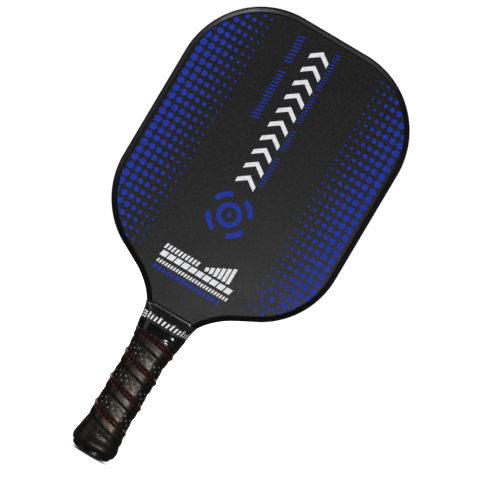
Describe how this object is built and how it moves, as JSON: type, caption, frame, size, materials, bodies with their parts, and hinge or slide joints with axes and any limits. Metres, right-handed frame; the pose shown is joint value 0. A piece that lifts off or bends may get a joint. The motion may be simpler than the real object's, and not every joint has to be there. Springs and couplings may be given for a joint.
{
  "type": "pickleball paddle",
  "caption": "Pickleball paddle with a rounded rectangular honeycomb head, a moulded edge guard, a flared throat with a collar, and a wound, ribbed and stitched grip over a flared butt cap.",
  "frame": {"origin": "centre of the flat end of the butt cap", "axes": "+Z along the handle from the butt to the top of the head, -Y out of the front face, +X to the right of somebody who looks at the front face"},
  "size_m": [0.2032, 0.0366, 0.4],
  "materials": {
    "core_polypropylene": "satin",
    "scrim_nonwoven": "matte",
    "face_composite": "matte",
    "guard_plastic": "satin",
    "scale_foam": "matte",
    "cap_plastic": "gloss",
    "staple_steel": "satin",
    "grip_leather": "satin",
    "bead_foam": "matte",
    "stitch_thread": "satin",
    "tape_vinyl": "gloss",
    "collar_vinyl": "gloss",
    "print_white": "satin",
    "print_blue": "satin"
  },
  "bodies": {
    "root": {"honeycomb_core": "core_polypropylene", "front_core_scrim": "scrim_nonwoven", "back_core_scrim": "scrim_nonwoven", "front_face_sheet": "face_composite", "back_face_sheet": "face_composite", "edge_guard": "guard_plastic", "front_handle_scale": "scale_foam", "back_handle_scale": "scale_foam", "butt_cap": "cap_plastic", "front_cap_staple": "staple_steel", "back_cap_staple": "staple_steel", "grip_strip": "grip_leather", "grip_bead": "bead_foam", "upper_stitch_thread": "stitch_thread", "lower_stitch_thread": "stitch_thread", "finishing_tape": "tape_vinyl", "collar_band": "collar_vinyl"}
  },
  "joints": []
}
